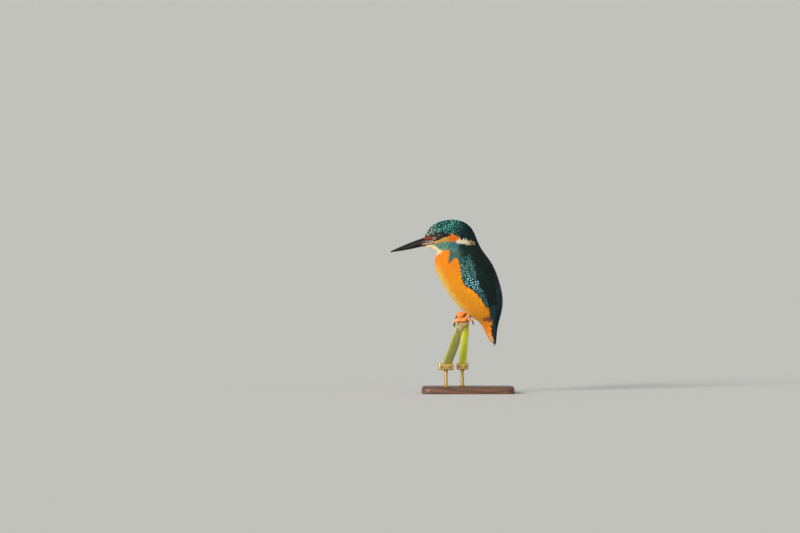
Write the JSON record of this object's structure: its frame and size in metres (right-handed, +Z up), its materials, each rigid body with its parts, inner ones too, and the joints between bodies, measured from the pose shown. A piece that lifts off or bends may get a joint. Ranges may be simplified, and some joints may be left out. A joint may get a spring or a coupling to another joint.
{
  "type": "kingfisher",
  "caption": "Life-size common kingfisher gripping a bent reed-mace leaf, held above a flat base by short rods with clips.",
  "frame": {"origin": "centre of the underside of the stand's base", "axes": "+Z up; the bird looks along -X and its left side faces -Y"},
  "size_m": [0.1193, 0.06, 0.1649],
  "materials": {
    "crown_feathers": "barred blue-green feathers",
    "breast_feathers": "soft orange feathers",
    "wing_feathers": "dark teal feathers with pale blue spots",
    "tail_feathers": "dark blue tail feathers over orange coverts",
    "bill_horn": "satin black horn with a pale tip",
    "eye": "wet dark brown eye",
    "foot_skin": "scaly orange-red skin",
    "claw_horn": "satin dark horn",
    "reed_leaf": "ribbed waxy green leaf",
    "stand_wood": "oiled dark walnut",
    "stand_brass": "brushed, slightly dull"
  },
  "bodies": {
    "root": {"head": "crown_feathers", "neck": "crown_feathers", "trunk": "breast_feathers", "tail": "tail_feathers", "wing_left": "wing_feathers", "wing_right": "wing_feathers", "bill_upper": "bill_horn", "bill_lower": "bill_horn", "eye_left": "eye", "eye_right": "eye", "leg_left": "foot_skin", "leg_right": "foot_skin", "toe_left_inner": "foot_skin", "toe_left_middle": "foot_skin", "toe_left_outer": "foot_skin", "toe_left_hind": "foot_skin", "toe_right_inner": "foot_skin", "toe_right_middle": "foot_skin", "toe_right_outer": "foot_skin", "toe_right_hind": "foot_skin", "claw_left_inner": "claw_horn", "claw_left_middle": "claw_horn", "claw_left_outer": "claw_horn", "claw_left_hind": "claw_horn", "claw_right_inner": "claw_horn", "claw_right_middle": "claw_horn", "claw_right_outer": "claw_horn", "claw_right_hind": "claw_horn", "perch_leaf": "reed_leaf", "stand_base": "stand_wood", "stand_rod_back": "stand_brass", "stand_rod_front": "stand_brass", "stand_clip_back": "stand_brass", "stand_clip_front": "stand_brass"}
  },
  "joints": []
}
